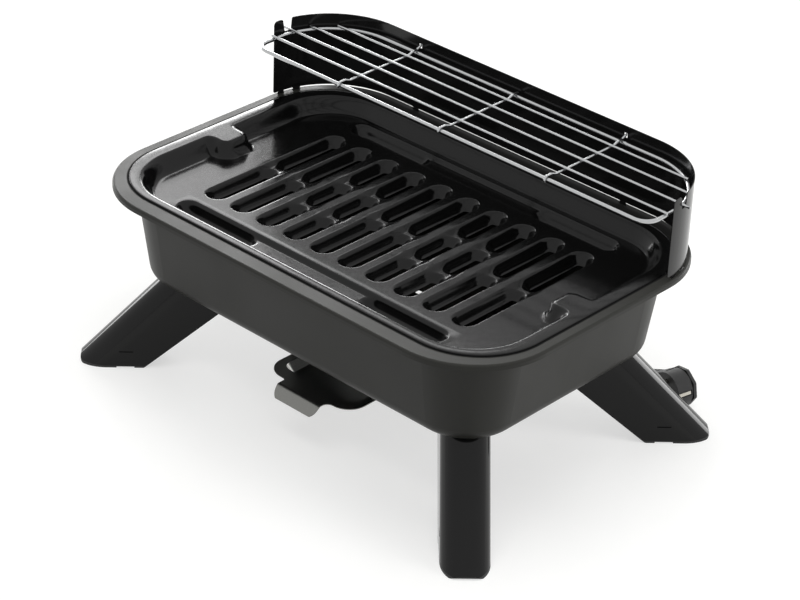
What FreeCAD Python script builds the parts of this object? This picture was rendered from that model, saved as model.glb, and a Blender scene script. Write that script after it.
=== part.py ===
import FreeCAD, Part
import math
import os

V = FreeCAD.Vector
os.makedirs("parts", exist_ok=True)

# Sizes in mm. X runs along the long side, -Y is the front, Z is up, the feet stand on z = 0.

# Basin
RIM_X = 250.0
RIM_Y = 168.0
RIM_CORNER = 84.5
RIM_Z = 193.5
FLOOR_Z = 93.0
BASIN_SHEET = 1.0
WALL_INSET_TOP = 21.0
WALL_INSET_FLOOR = 35.0
FLOOR_EDGE = 15.0
LIP_DEPTH = 5.5
LIP_EDGE = 2.5
DRAIN_RADIUS = 46.0
DRAIN_LIP = 4.0

# Grill plate
PLATE_SHEET = 1.2
PLATE_X = 238.0
PLATE_Y = 150.0
PLATE_CORNER = 70.0
PAN_TOP_X = 226.0
PAN_TOP_Y = 142.0
PAN_FIELD_X = 211.0
PAN_FIELD_Y = 131.0
FIELD_DROP = 14.7
ROWS = 10
ROW_PITCH = 34.3
ROW_HALF_LENGTH = 88.0
ROW_HALF_WIDTH = 12.0
SADDLE_DROP = 3.2
SADDLE_HALF_WIDTH = 9.0
POCKET_DROP = 10.5
POCKET_HALF_WIDTH = 6.4
SADDLE_HALF_LENGTH = 5.0
SADDLE_PAIR_Y = 29.0
SLOT_LEDGE = 0.8
GUTTER_Y = 114.0
GUTTER_HALF_LENGTH = 165.0
GUTTER_HALF_WIDTH = 11.0
GUTTER_SHALLOW_X = 70.0
BOSS_INNER_X = 201.0
BOSS_Y = -8.0
BOSS_HALF_WIDTH = 14.5
BOSS_CORNER = 8.0
BOSS_RUN = 6.0

# Windshield
SHIELD_INSET = 4.0
SHIELD_SHEET = 0.8
SHIELD_TOP = 272.0
SHIELD_FRONT_Y = 83.0
SHIELD_FRONT_EDGE = 4.5
SHIELD_FRONT_FOOT = 2.0
SHIELD_FOOT_GAP = 2.5
TAB_DROP = 5.0
TAB_HALF_WIDTH = 3.5
TAB_SIDE_Y = (92.5, 110.0)
TAB_BACK_X = 130.0
TAB_CLEAR = 0.5
TAB_END_CLEAR = 0.8
NOTCH_TOP_Y = (-7.2, 3.4)
NOTCH_FOOT_Y = (-5.0, 2.3)
NOTCH_RADII = (2.5, 1.5, 0.8, 2.0)

# Warming rack
FRAME_WIRE = 4.0
THIN_WIRE = 2.6
WELD = 0.3
RACK_BELOW_TOP = 11.5
RACK_X = 240.5
RACK_FRONT_Y = 54.0
RACK_REAR_Y = 158.0
RACK_FRONT_CORNER = 15.0
RACK_REAR_CORNER = 72.0
LONG_WIRES = ((78.0, 243.0), (101.0, 250.0), (121.0, 234.0), (141.5, 216.0))
NOTCH_WIRE = 1
CROSS_WIRE_X = 127.0
HOOK_SLOT_HALF_WIDTH = 2.0
HOOK_SLOT_HALF_HEIGHT = 2.4
HOOK_REACH = 3.0
HOOK_RISE = 2.4
NOTCH_PLAY = 0.3

# Legs and feet, in a leg's own frame: s along the diagonal, z up
LEG_HALF_WIDTH = 22.0
LEG_FACE_HALF_FLAT = 0.5
LEG_ROUND = LEG_HALF_WIDTH - LEG_FACE_HALF_FLAT
LEG_WALL = 2.4
LEG_TOP_WALL = 3.0
LEG_TOP_INNER_S = 125.0
LEG_TOP_OUTER_S = 212.0
LEG_TIP_S = 298.5
LEG_HEEL_S = 233.0
LEG_TIP_ROUND = 3.5
LEG_HEEL_ROUND = 4.0
FOOT_SHEET = 2.0
FOOT_PLUG_PLAY = 0.3
FOOT_PLUG_HEEL = 0.5
FOOT_PLUG_TIP = 46.0
FOOT_PLUG_TOP = 9.0
SOLE_NOTCH = (242.0, 259.0, 1.3)
SIDE_MARK = (243.0, 256.0, 17.0, 19.0)
SIDE_MARK_DEPTH = 0.8
LEG_SCREW_S = (152.0, 196.0)
SCREW_SHANK = 5.0
SCREW_HEAD = 10.0
SCREW_HEAD_HEIGHT = 3.0
SCREW_CLEAR = 0.2
LEG_BOSS_RADIUS = 6.0
LEG_BOSS_DEPTH = 20.0

# Drip tray and its rails
TRAY_SHEET = 0.8
TRAY_TOP = 51.0
TRAY_HALF_WIDTH = 54.0
TRAY_FRONT_Y = -112.0
TRAY_REAR_Y = 76.0
TRAY_FRONT_CORNER = 20.0
TRAY_REAR_CORNER = 12.0
DISH_HALF_WIDTH = 45.0
DISH_MARGIN = 14.0
DISH_DROP = 9.0
DISH_RUN = 5.0
DISH_CORNERS = (9.0, 6.0)
TAB_WIDTH = 54.0
TAB_FLAT_Y = -122.0
TAB_TIP_Y = -131.0
TAB_TIP_Z = 41.5
TAB_TIP_HALF = 25.5
TAB_BEND = 5.0
TAB_TIP_ROUND = 8.0
TAB_ROOT_Y = -119.0
TAB_ROOT_ROUND = (3.0, 6.9)
RAIL_SHEET = 1.2
RAIL_SIDE_GAP = 3.0
RAIL_LIP = 9.5
RAIL_FLANGE = 16.0
RAIL_HALF_LENGTH = 75.0
RIVET_Y = 55.0
RIVET_SHANK = 4.0
RIVET_HEAD = 8.0
RIVET_HEAD_HEIGHT = 1.8

# Heating element and its supports
ELEMENT_TUBE = 8.0
ELEMENT_Z = 157.0
ROD_PITCH = 35.0
ROD_OUTER_X = 165.0
ROD_INNER_X = 30.0
TERMINAL_X = 20.0
TERMINAL_Y = 152.0
ELEMENT_CLEAR = 0.3
SUPPORT_X = 120.0
SUPPORT_SHEET = 1.5
SUPPORT_HALF_LENGTH = 64.0
SUPPORT_FOOT = 14.0
SUPPORT_WINDOW = 9.0

# Control housing on the rear wall
HOUSING_X = 60.0
HOUSING_BOTTOM = 108.0
HOUSING_TOP = 170.0
HOUSING_REAR = 162.0
HOUSING_WALL = 2.2
HOUSING_EDGE = 5.0
HOUSING_SCREW_X = 52.0
HOUSING_SCREW_Z = (116.0, 162.0)
HOUSING_SCREW = 4.0
HOUSING_SCREW_HEAD = 7.0
HOUSING_BOSS = 9.0
HOUSING_BOSS_COVER = 8.0
HOUSING_BOSS_REAR = HOUSING_REAR - HOUSING_BOSS_COVER
KNOB_X = 30.0
KNOB_Z = 131.0
KNOB_RADIUS = 17.0
KNOB_SKIRT = 3.5
KNOB_DEPTH = 12.0
KNOB_REAR = HOUSING_REAR + KNOB_DEPTH
KNOB_GAP = 0.5
GRIP_HALF_WIDTH = 4.5
SHAFT = 6.0
SHAFT_PLAY = 0.05
THERMOSTAT = (28.0, 13.8, 28.0)
BUSH = 9.0
HOLE_PLAY = 0.2
TERMINAL_BLOCK = (30.0, 12.0, 16.0)
TERMINAL_BLOCK_Z = 114.0
LENS_X = -30.0
LENS_Z = 148.0
LENS = 8.0
LENS_FLANGE = 10.5
INNER_WIRE = 2.4
INNER_WIRE_IN = 6.0
INNER_WIRE_Y = HOUSING_REAR - INNER_WIRE_IN
LINK_WIRE_IN = 9.0
LINK_WIRE_Y = HOUSING_REAR - LINK_WIRE_IN
LINK_WIRE_Z = 122.0

# Cord, coil and plug
CORD = 7.0
GLAND_X = -30.0
GLAND_IN = 13.0
GLAND_Y = HOUSING_REAR - GLAND_IN
GLAND_NECK = 9.0
GLAND_COLLAR = 13.5
GLAND_TOP = 12.0
GLAND_END = 8.6
GLAND_LENGTH = 36.0
COLLAR_HEIGHT = 2.5
COIL_Y = 250.0
COIL_MIDDLE_RADIUS = 27.0
COIL_PITCH = 7.8
COIL_LAYER = 7.7
COIL_LOW_Z = 4.9
COIL_TURNS = 5.0 + 1.0 / 3.0
COIL_STEPS = 22
TIE_SHEET = 0.8
TIE_WIDTH = 6.0
TIE_PLAY = 0.45
TIE_ANGLE = 300.0
PLUG_AT = (199.5, 176.5)
PLUG_YAW = -13.0
PLUG_ROLL = 12.0
PLUG_RADIUS = 18.5
PLUG_FLOOR = 0.3
PLUG_FACE = -9.0
BARREL_BACK = 8.0
BARREL_EDGE = 0.8
NECK_RADIUS = 17.2
CAP_FRONT = 9.2
CAP_BACK = 13.0
CAP_APOTHEM = 17.9
CAP_EDGE = 0.9
GRIP_SHIFT = 3.5
GRIP_SECTIONS = ((-5.0, 9.5, 18.4), (-13.0, 9.2, 14.6), (-25.0, 8.0, 9.4), (-41.0, 6.0, 5.8))
GRIP_CORNER = 3.0
GRIP_GROOVES = (-38.6, -35.4, -32.2, -29.0)
GROOVE_WIDTH = 1.4
GROOVE_DEPTH = 0.9
PIN = 4.8
PIN_LENGTH = 19.0
PIN_SPACING = 19.0
CLIP_WIDTH = 3.2
CLIP_BED_WIDTH = 5.2
CLIP_BED_DEPTH = 1.4
CLIP_SHEET = 1.0
CLIP_BACK = (5.4, -6.0)
CLIP_BED_END = 1.4


# Shared shapes

def rounded_wire(points, radii, closed=True):
    """Straight runs joined by tangent arcs, one radius for each point."""
    count = len(points)
    edges = []
    first = None
    last = None
    for i in range(count):
        at = points[i]
        start, middle, end = at, None, at
        inner_point = closed or 0 < i < count - 1
        if inner_point and radii[i] > 0:
            back = (points[i - 1] - at).normalize()
            ahead = (points[(i + 1) % count] - at).normalize()
            half = back.getAngle(ahead) / 2
            reach = radii[i] / math.tan(half)
            start = at + back * reach
            end = at + ahead * reach
            bisector = (back + ahead).normalize()
            middle = at + bisector * (radii[i] / math.sin(half) - radii[i])
        if last is not None and last.distanceToPoint(start) > 1e-5:
            edges.append(Part.makeLine(last, start))
        if middle is not None:
            edges.append(Part.Arc(start, middle, end).toShape())
        if first is None:
            first = start
        last = end
    if closed and last.distanceToPoint(first) > 1e-5:
        edges.append(Part.makeLine(last, first))
    return Part.Wire(edges)


def rect_wire(half_x, half_y, corner, z, x=0.0, y=0.0):
    """Rounded rectangle in a level plane."""
    points = [V(x - half_x, y - half_y, z), V(x + half_x, y - half_y, z),
              V(x + half_x, y + half_y, z), V(x - half_x, y + half_y, z)]
    return rounded_wire(points, [corner] * 4)


def stadium_wire(x, y, half_length, half_width, z, along_x):
    """Two straight sides joined by two half circles."""
    run = V(1, 0, 0) if along_x else V(0, 1, 0)
    side = V(0, 1, 0) if along_x else V(-1, 0, 0)
    middle = V(x, y, z)
    far = middle + run * (half_length - half_width)
    near = middle - run * (half_length - half_width)
    edges = [Part.makeLine(near - side * half_width, far - side * half_width),
             Part.Arc(far - side * half_width, far + run * half_width, far + side * half_width).toShape(),
             Part.makeLine(far + side * half_width, near + side * half_width),
             Part.Arc(near + side * half_width, near - run * half_width, near - side * half_width).toShape()]
    return Part.Wire(edges)


def loft(wires):
    return Part.makeLoft(wires, True, True)


def prism(wire, direction):
    return Part.Face(wire).extrude(direction)


def slab(half_x, half_y, corner, z_low, z_high, x=0.0, y=0.0):
    return prism(rect_wire(half_x, half_y, corner, z_low, x, y), V(0, 0, z_high - z_low))


def box(x_low, x_high, y_low, y_high, z_low, z_high):
    return Part.makeBox(x_high - x_low, y_high - y_low, z_high - z_low, V(x_low, y_low, z_low))


def rod(diameter, start, end):
    return Part.makeCylinder(diameter / 2, start.distanceToPoint(end), start, end - start)


def level_edges(solid, z):
    """The edges that lie whole in one level plane."""
    found = []
    for edge in solid.Edges:
        if abs(edge.BoundBox.ZMin - z) < 1e-3 and abs(edge.BoundBox.ZMax - z) < 1e-3:
            found.append(edge)
    return found


def tube(wire, start, direction, diameter):
    """One unbroken round tube along a wire."""
    ring = Part.Wire([Part.Edge(Part.Circle(start, direction, diameter / 2))])
    return wire.makePipeShell([ring], True, False)


def bent_rod(points, radii, diameter):
    """Round rod along straight runs with tangent bends."""
    return tube(rounded_wire(points, radii, False), points[0], points[1] - points[0], diameter)


def joined(shapes):
    """One body from shapes that overlap or share faces."""
    return shapes[0].multiFuse(shapes[1:]).removeSplitter()


def save(name, shapes):
    """Write one node. The pieces of a node stay separate solids."""
    shape = shapes[0] if len(shapes) == 1 else Part.makeCompound(shapes)
    shape.exportStep("parts/" + name + ".step")
    for piece in shapes:
        if not piece.isValid() or len(piece.Solids) != 1:
            print("check", name, piece.isValid(), len(piece.Solids))


def press_growth(run, drop, sheet):
    """How much wider the under side of a pressed wall is at the same stage of the press."""
    return sheet * math.tan(math.atan2(drop, run) / 2)


# Where the basin's outer wall stands at a height

WALL_SLOPE = (WALL_INSET_FLOOR - WALL_INSET_TOP) / (RIM_Z - FLOOR_Z)


def wall_inset(z):
    return WALL_INSET_TOP + (RIM_Z - z) * WALL_SLOPE


def rim_ring(inset, z):
    return rect_wire(RIM_X - inset, RIM_Y - inset, RIM_CORNER - inset, z)


def bowl(sheet, z_high):
    """The bowl's volume, shrunk by a sheet thickness, with its rounded floor edge."""
    floor = FLOOR_Z + sheet
    body = loft([rim_ring(wall_inset(z_high) + sheet, z_high), rim_ring(wall_inset(floor) + sheet, floor)])
    return body.makeFillet(FLOOR_EDGE - sheet, level_edges(body, floor))


basin_outside = bowl(0.0, RIM_Z)
basin_inside = bowl(BASIN_SHEET, RIM_Z + 2.0)


# Legs: one shape in its own frame, then set on the four diagonals

LEG_SIDES = (("front_left", -1, -1), ("front_right", 1, -1), ("rear_left", -1, 1), ("rear_right", 1, 1))
LEG_OFFSET = (RIM_X - RIM_Y) / 2


def on_diagonal(shape, side_x, side_y):
    """Turn a shape from the leg frame onto one corner's diagonal."""
    placed = shape.copy()
    placed.rotate(V(0, 0, 0), V(0, 0, 1), math.degrees(math.atan2(side_y, side_x)))
    placed.translate(V(side_x * LEG_OFFSET, -side_y * LEG_OFFSET, 0))
    return placed


leg_slope = V(LEG_TIP_S - LEG_TOP_OUTER_S, 0, -FLOOR_Z).normalize()
leg_outward = V(-leg_slope.z, 0, leg_slope.x)
heel_slope = V(LEG_TOP_INNER_S - LEG_HEEL_S, 0, FLOOR_Z).normalize()


def leg_body(profile, radii, inset):
    """Side profile across the leg, with the outer face rounded over to the sides."""
    half = LEG_HALF_WIDTH - inset
    wire = rounded_wire([V(s, -half, z) for s, z in profile], radii)
    sides = prism(wire, V(0, 2 * half, 0))
    start = V(LEG_TOP_OUTER_S, 0, FLOOR_Z) - leg_slope * FLOOR_Z - leg_outward * inset
    corners = [start + V(0, -half, 0), start + V(0, half, 0),
               start + V(0, half, 0) - leg_outward * LEG_TIP_S,
               start + V(0, -half, 0) - leg_outward * LEG_TIP_S]
    round_over = LEG_ROUND - inset
    section = rounded_wire(corners, [round_over, round_over, 0, 0])
    return sides.common(prism(section, leg_slope * 2 * LEG_TIP_S))


def upper_line(z):
    """The inner face of the leg's outer wall."""
    return LEG_TIP_S + (z / leg_slope.z) * leg_slope.x - LEG_WALL / leg_outward.x


def lower_line(z):
    """The inner face of the leg's lower wall."""
    return LEG_HEEL_S + (z / heel_slope.z) * heel_slope.x + LEG_WALL / heel_slope.z


leg_full = leg_body([(LEG_TOP_INNER_S, FLOOR_Z), (LEG_TOP_OUTER_S, FLOOR_Z), (LEG_TIP_S, 0), (LEG_HEEL_S, 0)],
                    [0, 0, LEG_TIP_ROUND, LEG_HEEL_ROUND], 0.0)
cavity_top = FLOOR_Z - LEG_TOP_WALL
tip_inner_z = LEG_TIP_ROUND + LEG_WALL * 2
cavity = leg_body([(lower_line(cavity_top), cavity_top), (upper_line(cavity_top), cavity_top),
                   (upper_line(tip_inner_z), tip_inner_z), (upper_line(tip_inner_z) - LEG_WALL, -1.0),
                   (lower_line(-1.0), -1.0)], [0] * 5, LEG_WALL)
sole_cut = box(0, 2 * LEG_TIP_S, -2 * LEG_HALF_WIDTH, 2 * LEG_HALF_WIDTH, -FLOOR_Z, FOOT_SHEET)
leg = leg_full.cut(sole_cut).cut(cavity)
leg_bosses = []
for s in LEG_SCREW_S:
    boss = rod(2 * LEG_BOSS_RADIUS, V(s, 0, FLOOR_Z - LEG_BOSS_DEPTH), V(s, 0, FLOOR_Z))
    leg_bosses.append(boss.common(leg_full))
leg = joined([leg] + leg_bosses)
for s in LEG_SCREW_S:
    bore_low = V(s, 0, FLOOR_Z - LEG_BOSS_DEPTH + 2)
    leg = leg.cut(rod(SCREW_SHANK + 2 * SCREW_CLEAR, bore_low, V(s, 0, FLOOR_Z + 1)))
for side in (-1, 1):
    near = side * (LEG_HALF_WIDTH - SIDE_MARK_DEPTH)
    far = side * (LEG_HALF_WIDTH + 1)
    leg = leg.cut(box(SIDE_MARK[0], SIDE_MARK[1], min(near, far), max(near, far), SIDE_MARK[2], SIDE_MARK[3]))
foot_plug_half = LEG_HALF_WIDTH - LEG_WALL - FOOT_PLUG_PLAY
foot = joined([leg_full.common(sole_cut),
               box(lower_line(FOOT_SHEET) + FOOT_PLUG_HEEL, LEG_TIP_S - FOOT_PLUG_TIP, -foot_plug_half,
                   foot_plug_half, FOOT_SHEET / 2, FOOT_PLUG_TOP)])
foot = foot.cut(box(SOLE_NOTCH[0], SOLE_NOTCH[1], -2 * LEG_HALF_WIDTH, 2 * LEG_HALF_WIDTH,
                    -FLOOR_Z, SOLE_NOTCH[2]))
screw = joined([rod(SCREW_SHANK, V(0, 0, FLOOR_Z - LEG_BOSS_DEPTH + 4), V(0, 0, FLOOR_Z + BASIN_SHEET + 1)),
                rod(SCREW_HEAD, V(0, 0, FLOOR_Z + BASIN_SHEET),
                    V(0, 0, FLOOR_Z + BASIN_SHEET + SCREW_HEAD_HEIGHT))])
leg_screws = []
leg_screw_holes = []
for name, side_x, side_y in LEG_SIDES:
    save("leg_" + name, [on_diagonal(leg, side_x, side_y)])
    save("foot_" + name, [on_diagonal(foot, side_x, side_y)])
    for s in LEG_SCREW_S:
        here = screw.copy()
        here.translate(V(s, 0, 0))
        leg_screws.append(on_diagonal(here, side_x, side_y))
        hole = rod(SCREW_SHANK + 2 * SCREW_CLEAR, V(s, 0, FLOOR_Z - 1), V(s, 0, FLOOR_Z + 5))
        leg_screw_holes.append(on_diagonal(hole, side_x, side_y))
save("leg_screws", leg_screws)


# Drip tray: flange, pressed dish and a bent grip tab

tab_half = TAB_WIDTH / 2
flange_plan = [(-TRAY_HALF_WIDTH, TRAY_FRONT_Y), (-tab_half, TRAY_FRONT_Y), (-tab_half, TAB_ROOT_Y),
               (tab_half, TAB_ROOT_Y), (tab_half, TRAY_FRONT_Y), (TRAY_HALF_WIDTH, TRAY_FRONT_Y),
               (TRAY_HALF_WIDTH, TRAY_REAR_Y), (-TRAY_HALF_WIDTH, TRAY_REAR_Y)]
flange_radii = [TRAY_FRONT_CORNER, TAB_ROOT_ROUND[0], 0, 0, TAB_ROOT_ROUND[1], TRAY_FRONT_CORNER,
                TRAY_REAR_CORNER, TRAY_REAR_CORNER]
flange_wire = rounded_wire([V(x, y, TRAY_TOP - TRAY_SHEET) for x, y in flange_plan], flange_radii)
tray = prism(flange_wire, V(0, 0, TRAY_SHEET))
tab_fall = math.atan2(TRAY_TOP - TAB_TIP_Z, TAB_FLAT_Y - TAB_TIP_Y)
tab_under = TRAY_SHEET * math.tan(tab_fall / 2)
tab_profile = [V(-tab_half, TRAY_FRONT_Y + 4, TRAY_TOP), V(-tab_half, TAB_FLAT_Y, TRAY_TOP),
               V(-tab_half, TAB_TIP_Y, TAB_TIP_Z),
               V(-tab_half, TAB_TIP_Y + TRAY_SHEET * math.sin(tab_fall),
                 TAB_TIP_Z - TRAY_SHEET * math.cos(tab_fall)),
               V(-tab_half, TAB_FLAT_Y + tab_under, TRAY_TOP - TRAY_SHEET),
               V(-tab_half, TRAY_FRONT_Y + 4, TRAY_TOP - TRAY_SHEET)]
tab_wire = rounded_wire(tab_profile, [0, TAB_BEND, 0, 0, TAB_BEND - TRAY_SHEET, 0])
tab = prism(tab_wire, V(TAB_WIDTH, 0, 0))
tab_plan = [(-tab_half, TRAY_FRONT_Y + 5), (-tab_half, TAB_FLAT_Y), (-TAB_TIP_HALF, TAB_TIP_Y),
            (TAB_TIP_HALF, TAB_TIP_Y), (tab_half, TAB_FLAT_Y), (tab_half, TRAY_FRONT_Y + 5)]
tab_trim = rounded_wire([V(x, y, 0) for x, y in tab_plan], [0, 0, TAB_TIP_ROUND, TAB_TIP_ROUND, 0, 0])
tab = tab.common(prism(tab_trim, V(0, 0, FLOOR_Z)))
dish_half_y = (TRAY_REAR_Y - TRAY_FRONT_Y) / 2 - DISH_MARGIN
dish_y = (TRAY_REAR_Y + TRAY_FRONT_Y) / 2
dish_growth = press_growth(DISH_RUN, DISH_DROP, TRAY_SHEET)


def dish(growth, sheet):
    return loft([rect_wire(DISH_HALF_WIDTH + growth, dish_half_y + growth, DISH_CORNERS[0],
                           TRAY_TOP - sheet, 0, dish_y),
                 rect_wire(DISH_HALF_WIDTH - DISH_RUN + growth, dish_half_y - DISH_RUN + growth,
                           DISH_CORNERS[1], TRAY_TOP - DISH_DROP - sheet, 0, dish_y)])


tray = joined([tray, tab, dish(dish_growth, TRAY_SHEET)]).cut(dish(0.0, 0.0))
save("drip_tray", [tray])

rail_web = TRAY_HALF_WIDTH + RAIL_SIDE_GAP
rail_low = TRAY_TOP - TRAY_SHEET
rail_profile = [(rail_web + RAIL_SHEET - RAIL_LIP - RAIL_SHEET, rail_low - RAIL_SHEET),
                (rail_web + RAIL_SHEET, rail_low - RAIL_SHEET), (rail_web + RAIL_SHEET, FLOOR_Z - RAIL_SHEET),
                (rail_web + RAIL_FLANGE, FLOOR_Z - RAIL_SHEET), (rail_web + RAIL_FLANGE, FLOOR_Z),
                (rail_web, FLOOR_Z), (rail_web, rail_low), (rail_web - RAIL_LIP, rail_low)]
rivet_x = rail_web + RAIL_FLANGE * 0.6
rivets = []
rivet_holes = []
for name, side in (("left", -1), ("right", 1)):
    wire = rounded_wire([V(side * x, -RAIL_HALF_LENGTH, z) for x, z in rail_profile], [0] * 8)
    rail = prism(wire, V(0, 2 * RAIL_HALF_LENGTH, 0))
    for y in (-RIVET_Y, RIVET_Y):
        low = V(side * rivet_x, y, FLOOR_Z - RAIL_SHEET)
        high = V(side * rivet_x, y, FLOOR_Z + BASIN_SHEET)
        hole = rod(RIVET_SHANK + 2 * HOLE_PLAY, low - V(0, 0, 1), high + V(0, 0, 1))
        rail = rail.cut(hole)
        rivet_holes.append(hole)
        rivets.append(joined([rod(RIVET_SHANK, low - V(0, 0, 0.5), high + V(0, 0, 0.5)),
                              rod(RIVET_HEAD, low - V(0, 0, RIVET_HEAD_HEIGHT), low),
                              rod(RIVET_HEAD, high, high + V(0, 0, RIVET_HEAD_HEIGHT))]))
    save("tray_rail_" + name, [rail])
save("rail_rivets", rivets)


# Heating element: one bent tube with four rods along X, on two supports

rod_y = [ROD_PITCH * 1.5, ROD_PITCH * 0.5, -ROD_PITCH * 0.5, -ROD_PITCH * 1.5]
bend = ROD_PITCH / 2
left_half = [V(-TERMINAL_X, TERMINAL_Y, ELEMENT_Z), V(-TERMINAL_X, rod_y[0], ELEMENT_Z),
             V(-ROD_OUTER_X - bend, rod_y[0], ELEMENT_Z), V(-ROD_OUTER_X - bend, rod_y[1], ELEMENT_Z),
             V(-ROD_INNER_X + bend, rod_y[1], ELEMENT_Z), V(-ROD_INNER_X + bend, rod_y[2], ELEMENT_Z),
             V(-ROD_OUTER_X - bend, rod_y[2], ELEMENT_Z), V(-ROD_OUTER_X - bend, rod_y[3], ELEMENT_Z)]
right_half = [V(-p.x, p.y, p.z) for p in reversed(left_half)]
element_points = left_half + right_half
element_radii = [bend * 0.9999] * len(element_points)
element = bent_rod(element_points, element_radii, ELEMENT_TUBE)
save("heating_element", [element])
print("element volume", element.Volume)

floor_top = FLOOR_Z + BASIN_SHEET
for name, side in (("left", -1), ("right", 1)):
    x = side * SUPPORT_X
    outer = x + side * SUPPORT_FOOT
    plate = box(min(x, x + side * SUPPORT_SHEET), max(x, x + side * SUPPORT_SHEET),
                -SUPPORT_HALF_LENGTH, SUPPORT_HALF_LENGTH, floor_top, ELEMENT_Z)
    foot_strip = box(min(x, outer), max(x, outer), -SUPPORT_HALF_LENGTH, SUPPORT_HALF_LENGTH,
                     floor_top, floor_top + SUPPORT_SHEET)
    for y in rod_y:
        plate = plate.cut(rod(ELEMENT_TUBE + 2 * ELEMENT_CLEAR, V(x - 5, y, ELEMENT_Z),
                              V(x + 5, y, ELEMENT_Z)))
    for i in range(3):
        middle = (rod_y[i] + rod_y[i + 1]) / 2
        window = box(x - 5, x + 5, middle - SUPPORT_WINDOW, middle + SUPPORT_WINDOW,
                     floor_top + 18, ELEMENT_Z - 12)
        plate = plate.cut(window)
    save("element_support_" + name, [joined([plate, foot_strip])])


# Control housing on the rear wall and what it holds

def wall_y(z):
    """The rear wall's outer face at a height."""
    return RIM_Y - wall_inset(z)


housing_middle = (HOUSING_TOP + HOUSING_BOTTOM) / 2
housing_half = (HOUSING_TOP - HOUSING_BOTTOM) / 2


def housing_block(inset, front, rear):
    """Rounded block that runs along Y."""
    corner = HOUSING_EDGE - inset
    half_x = HOUSING_X - inset
    half_z = housing_half - inset
    points = [V(-half_x, front, housing_middle - half_z), V(half_x, front, housing_middle - half_z),
              V(half_x, front, housing_middle + half_z), V(-half_x, front, housing_middle + half_z)]
    return prism(rounded_wire(points, [corner] * 4), V(0, rear - front, 0))


housing_front = RIM_Y - 2 * WALL_INSET_FLOOR
housing_inner_rear = HOUSING_REAR - HOUSING_WALL
block = housing_block(0.0, housing_front, HOUSING_REAR)
rear_edges = [e for e in block.Edges if e.BoundBox.YMin > HOUSING_REAR - 0.01]
block = block.makeFillet(2.0, rear_edges)
housing = block.cut(housing_block(HOUSING_WALL, housing_front - HOUSING_WALL, housing_inner_rear))
housing_screws = []
wall_holes = []
for x in (-HOUSING_SCREW_X, HOUSING_SCREW_X):
    for z in HOUSING_SCREW_Z:
        boss = rod(HOUSING_BOSS, V(x, housing_front, z), V(x, housing_inner_rear + 0.5, z))
        housing = housing.fuse(boss)
        head_under = wall_y(z + HOUSING_SCREW_HEAD / 2 * -1) - BASIN_SHEET * 1.02
        head_top = head_under - 2.2
        hole = rod(HOUSING_SCREW + 2 * HOLE_PLAY, V(x, housing_front, z), V(x, HOUSING_BOSS_REAR, z))
        housing = housing.cut(hole)
        housing_screws.append(joined([rod(HOUSING_SCREW, V(x, head_under - 1, z),
                                          V(x, HOUSING_BOSS_REAR - 2, z)),
                                      rod(HOUSING_SCREW_HEAD, V(x, head_top, z), V(x, head_under, z))]))
        wall_holes.append(hole)
housing = housing.cut(rod(BUSH + 2 * HOLE_PLAY, V(KNOB_X, housing_inner_rear - 1, KNOB_Z),
                          V(KNOB_X, HOUSING_REAR + 1, KNOB_Z)))
housing = housing.cut(rod(LENS + 2 * HOLE_PLAY, V(LENS_X, housing_inner_rear - 1, LENS_Z),
                          V(LENS_X, HOUSING_REAR + 1, LENS_Z)))
housing = housing.cut(rod(GLAND_NECK + 2 * HOLE_PLAY, V(GLAND_X, GLAND_Y, HOUSING_BOTTOM - 5),
                          V(GLAND_X, GLAND_Y, HOUSING_BOTTOM + 5)))
housing = housing.cut(basin_outside).removeSplitter()
save("control_housing", [housing])
save("housing_screws", housing_screws)

thermostat_front = housing_inner_rear - THERMOSTAT[1]
thermostat = joined([box(KNOB_X - THERMOSTAT[0] / 2, KNOB_X + THERMOSTAT[0] / 2, thermostat_front,
                         housing_inner_rear, KNOB_Z - THERMOSTAT[2] / 2, KNOB_Z + THERMOSTAT[2] / 2),
                     rod(BUSH, V(KNOB_X, housing_inner_rear - 1, KNOB_Z), V(KNOB_X, HOUSING_REAR, KNOB_Z))])
thermostat = thermostat.cut(rod(SHAFT + 2 * SHAFT_PLAY, V(KNOB_X, thermostat_front + 3, KNOB_Z),
                                V(KNOB_X, HOUSING_REAR + 1, KNOB_Z)))
save("thermostat", [thermostat])
save("thermostat_shaft", [rod(SHAFT, V(KNOB_X, thermostat_front + 3.5, KNOB_Z),
                              V(KNOB_X, KNOB_REAR - 2.5, KNOB_Z))])

knob_front = HOUSING_REAR + KNOB_GAP
grip_points = [V(KNOB_X - GRIP_HALF_WIDTH, knob_front, KNOB_Z - KNOB_RADIUS + 1.5),
               V(KNOB_X + GRIP_HALF_WIDTH, knob_front, KNOB_Z - KNOB_RADIUS + 1.5),
               V(KNOB_X + GRIP_HALF_WIDTH, knob_front, KNOB_Z + KNOB_RADIUS - 1.5),
               V(KNOB_X - GRIP_HALF_WIDTH, knob_front, KNOB_Z + KNOB_RADIUS - 1.5)]
knob = joined([rod(2 * KNOB_RADIUS, V(KNOB_X, knob_front, KNOB_Z),
                   V(KNOB_X, knob_front + KNOB_SKIRT, KNOB_Z)),
               prism(rounded_wire(grip_points, [3.0] * 4), V(0, KNOB_REAR - knob_front, 0))])
knob = knob.cut(rod(SHAFT + 2 * SHAFT_PLAY, V(KNOB_X, knob_front - 1, KNOB_Z),
                    V(KNOB_X, KNOB_REAR - 2, KNOB_Z)))
save("control_knob", [knob])

lens = joined([rod(LENS, V(LENS_X, HOUSING_REAR - 9, LENS_Z), V(LENS_X, HOUSING_REAR + 0.5, LENS_Z)),
               rod(LENS_FLANGE, V(LENS_X, HOUSING_REAR, LENS_Z), V(LENS_X, HOUSING_REAR + 1.2, LENS_Z))])
save("indicator_lens", [lens])

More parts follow.
